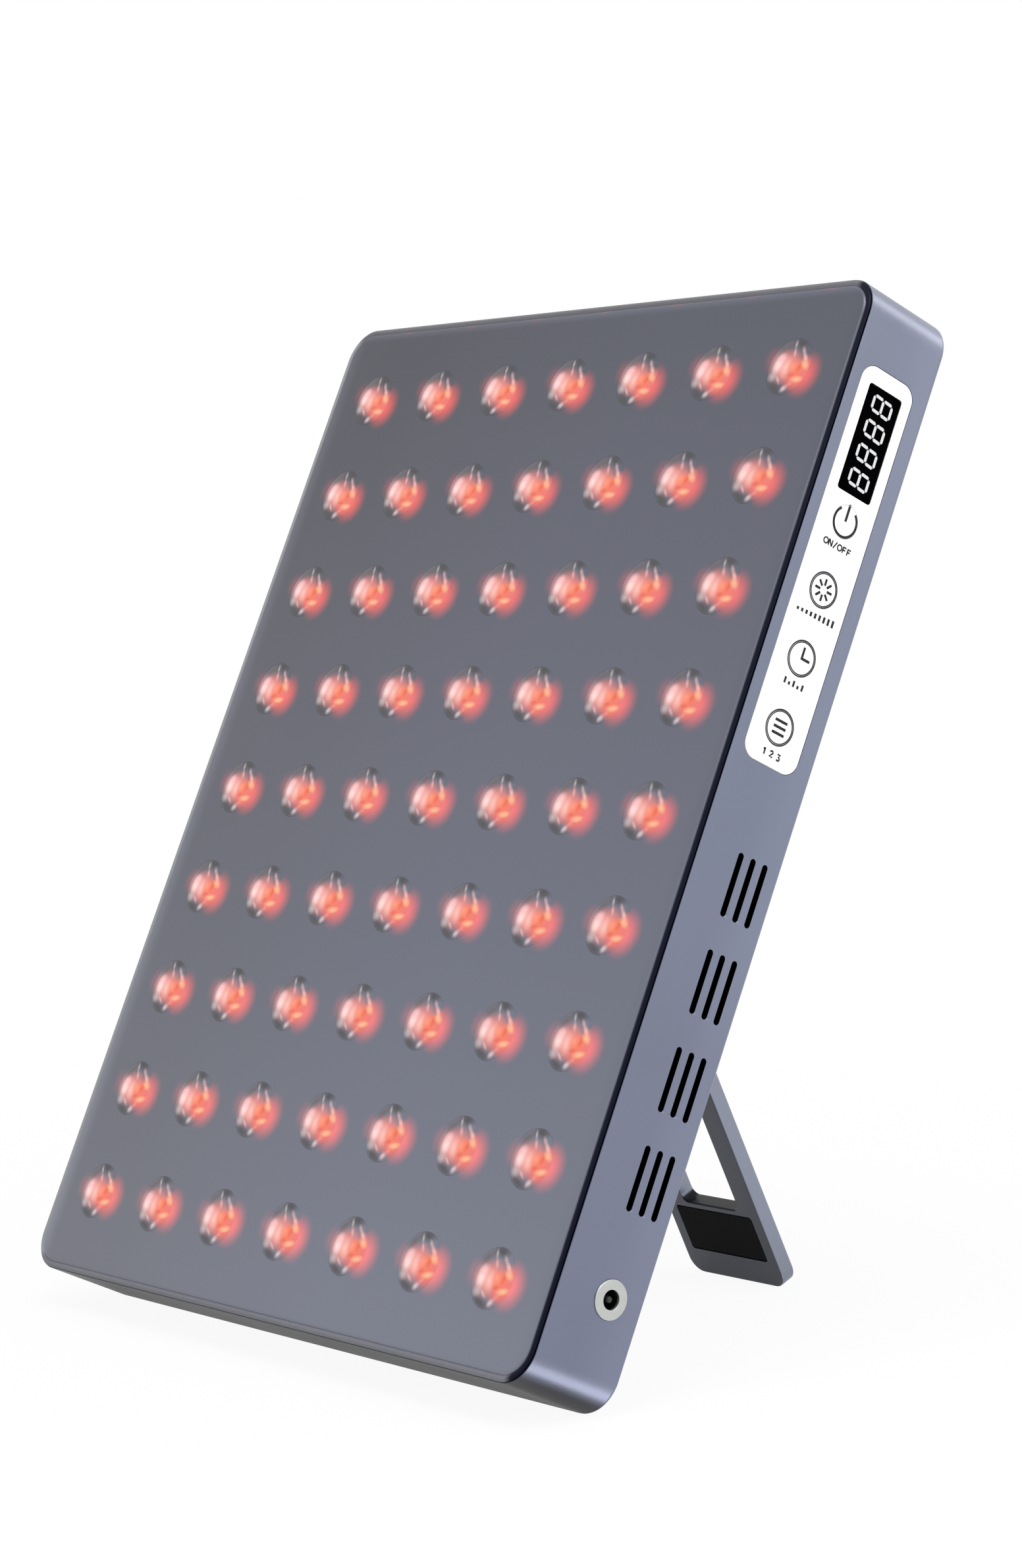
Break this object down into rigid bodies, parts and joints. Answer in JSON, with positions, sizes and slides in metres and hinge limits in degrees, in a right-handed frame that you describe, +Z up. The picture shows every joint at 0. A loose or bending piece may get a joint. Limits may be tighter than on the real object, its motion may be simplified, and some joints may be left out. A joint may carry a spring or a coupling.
{
  "type": "red light therapy panel",
  "caption": "Flat tabletop panel of glowing round lenses in a slim rounded metal housing, with a side control strip, vents and a power jack, leaning back on a folding rear stand",
  "frame": {"origin": "middle of the footprint's bounding box, on the surface that the panel stands on", "axes": "+X to the viewer's right, towards the wall with the controls; +Y backwards, towards the stand; +Z up. The panel's face looks along -Y and leans back about 25 degrees"},
  "size_m": [0.2394, 0.1792, 0.29],
  "materials": {
    "housing_paint": "satin blue-grey anodised or painted aluminium",
    "plate_paint": "satin grey, a little darker than the walls",
    "black_rubber": "matt black",
    "led_lens": "clear lenses lit from behind with red light",
    "fascia_white": "white printed film on a plate",
    "display_black": "black glossy window",
    "black_plastic": "black moulded plastic",
    "board_green": "green circuit board",
    "bare_aluminium": "bare extruded aluminium",
    "bright_steel": "bright plated steel",
    "capacitor_sleeve": "dark blue sleeve",
    "lead_red": "red lead"
  },
  "bodies": {
    "panel": {"side_frame": "housing_paint", "rear_cover": "housing_paint", "front_plate": "plate_paint", "seal_gasket": "black_rubber", "led_board": "led_lens", "control_fascia": "fascia_white", "display_window": "display_black", "display_module": "black_plastic", "jack_body": "black_plastic", "driver_inductor": "black_plastic", "driver_terminal": "black_plastic", "led_terminal": "black_plastic", "control_lead": "black_plastic", "mode_switch": "black_plastic", "time_switch": "black_plastic", "brightness_switch": "black_plastic", "power_switch": "black_plastic", "driver_board": "board_green", "control_board": "board_green", "heat_spreader": "bare_aluminium", "jack_bezel": "bright_steel", "jack_pin": "bright_steel", "jack_nut": "bright_steel", "hinge_base": "bright_steel", "hinge_pin": "bright_steel", "friction_washer_left": "bright_steel", "friction_washer_right": "bright_steel", "cover_screw_1": "bright_steel", "cover_screw_2": "bright_steel", "cover_screw_3": "bright_steel", "cover_screw_4": "bright_steel", "cover_screw_5": "bright_steel", "cover_screw_6": "bright_steel", "hinge_screw_1": "bright_steel", "hinge_screw_2": "bright_steel", "hinge_screw_3": "bright_steel", "hinge_screw_4": "bright_steel", "driver_capacitor_1": "capacitor_sleeve", "driver_capacitor_2": "capacitor_sleeve", "power_lead": "lead_red", "led_lead": "lead_red"},
    "stand": {"stand_frame": "housing_paint", "stand_pad": "black_rubber"},
    "mode_button": {"mode_key": "fascia_white"},
    "time_button": {"time_key": "fascia_white"},
    "brightness_button": {"brightness_key": "fascia_white"},
    "power_button": {"power_key": "fascia_white"}
  },
  "joints": [
    {"name": "stand_fold", "type": "hinge", "parent": "panel", "child": "stand", "pos_m": [-0.0002, 0.01435, 0.15821], "axis": [-1, 0, 0], "range_deg": [0, 49.55]},
    {"name": "mode_press", "type": "slide", "parent": "panel", "child": "mode_button", "axis": [-1, 0, 0], "range_m": [0, 0.0003], "stiffness_N_per_m": 5200},
    {"name": "time_press", "type": "slide", "parent": "panel", "child": "time_button", "axis": [-1, 0, 0], "range_m": [0, 0.0003], "stiffness_N_per_m": 5200},
    {"name": "brightness_press", "type": "slide", "parent": "panel", "child": "brightness_button", "axis": [-1, 0, 0], "range_m": [0, 0.0003], "stiffness_N_per_m": 5200},
    {"name": "power_press", "type": "slide", "parent": "panel", "child": "power_button", "axis": [-1, 0, 0], "range_m": [0, 0.0003], "stiffness_N_per_m": 5200}
  ]
}
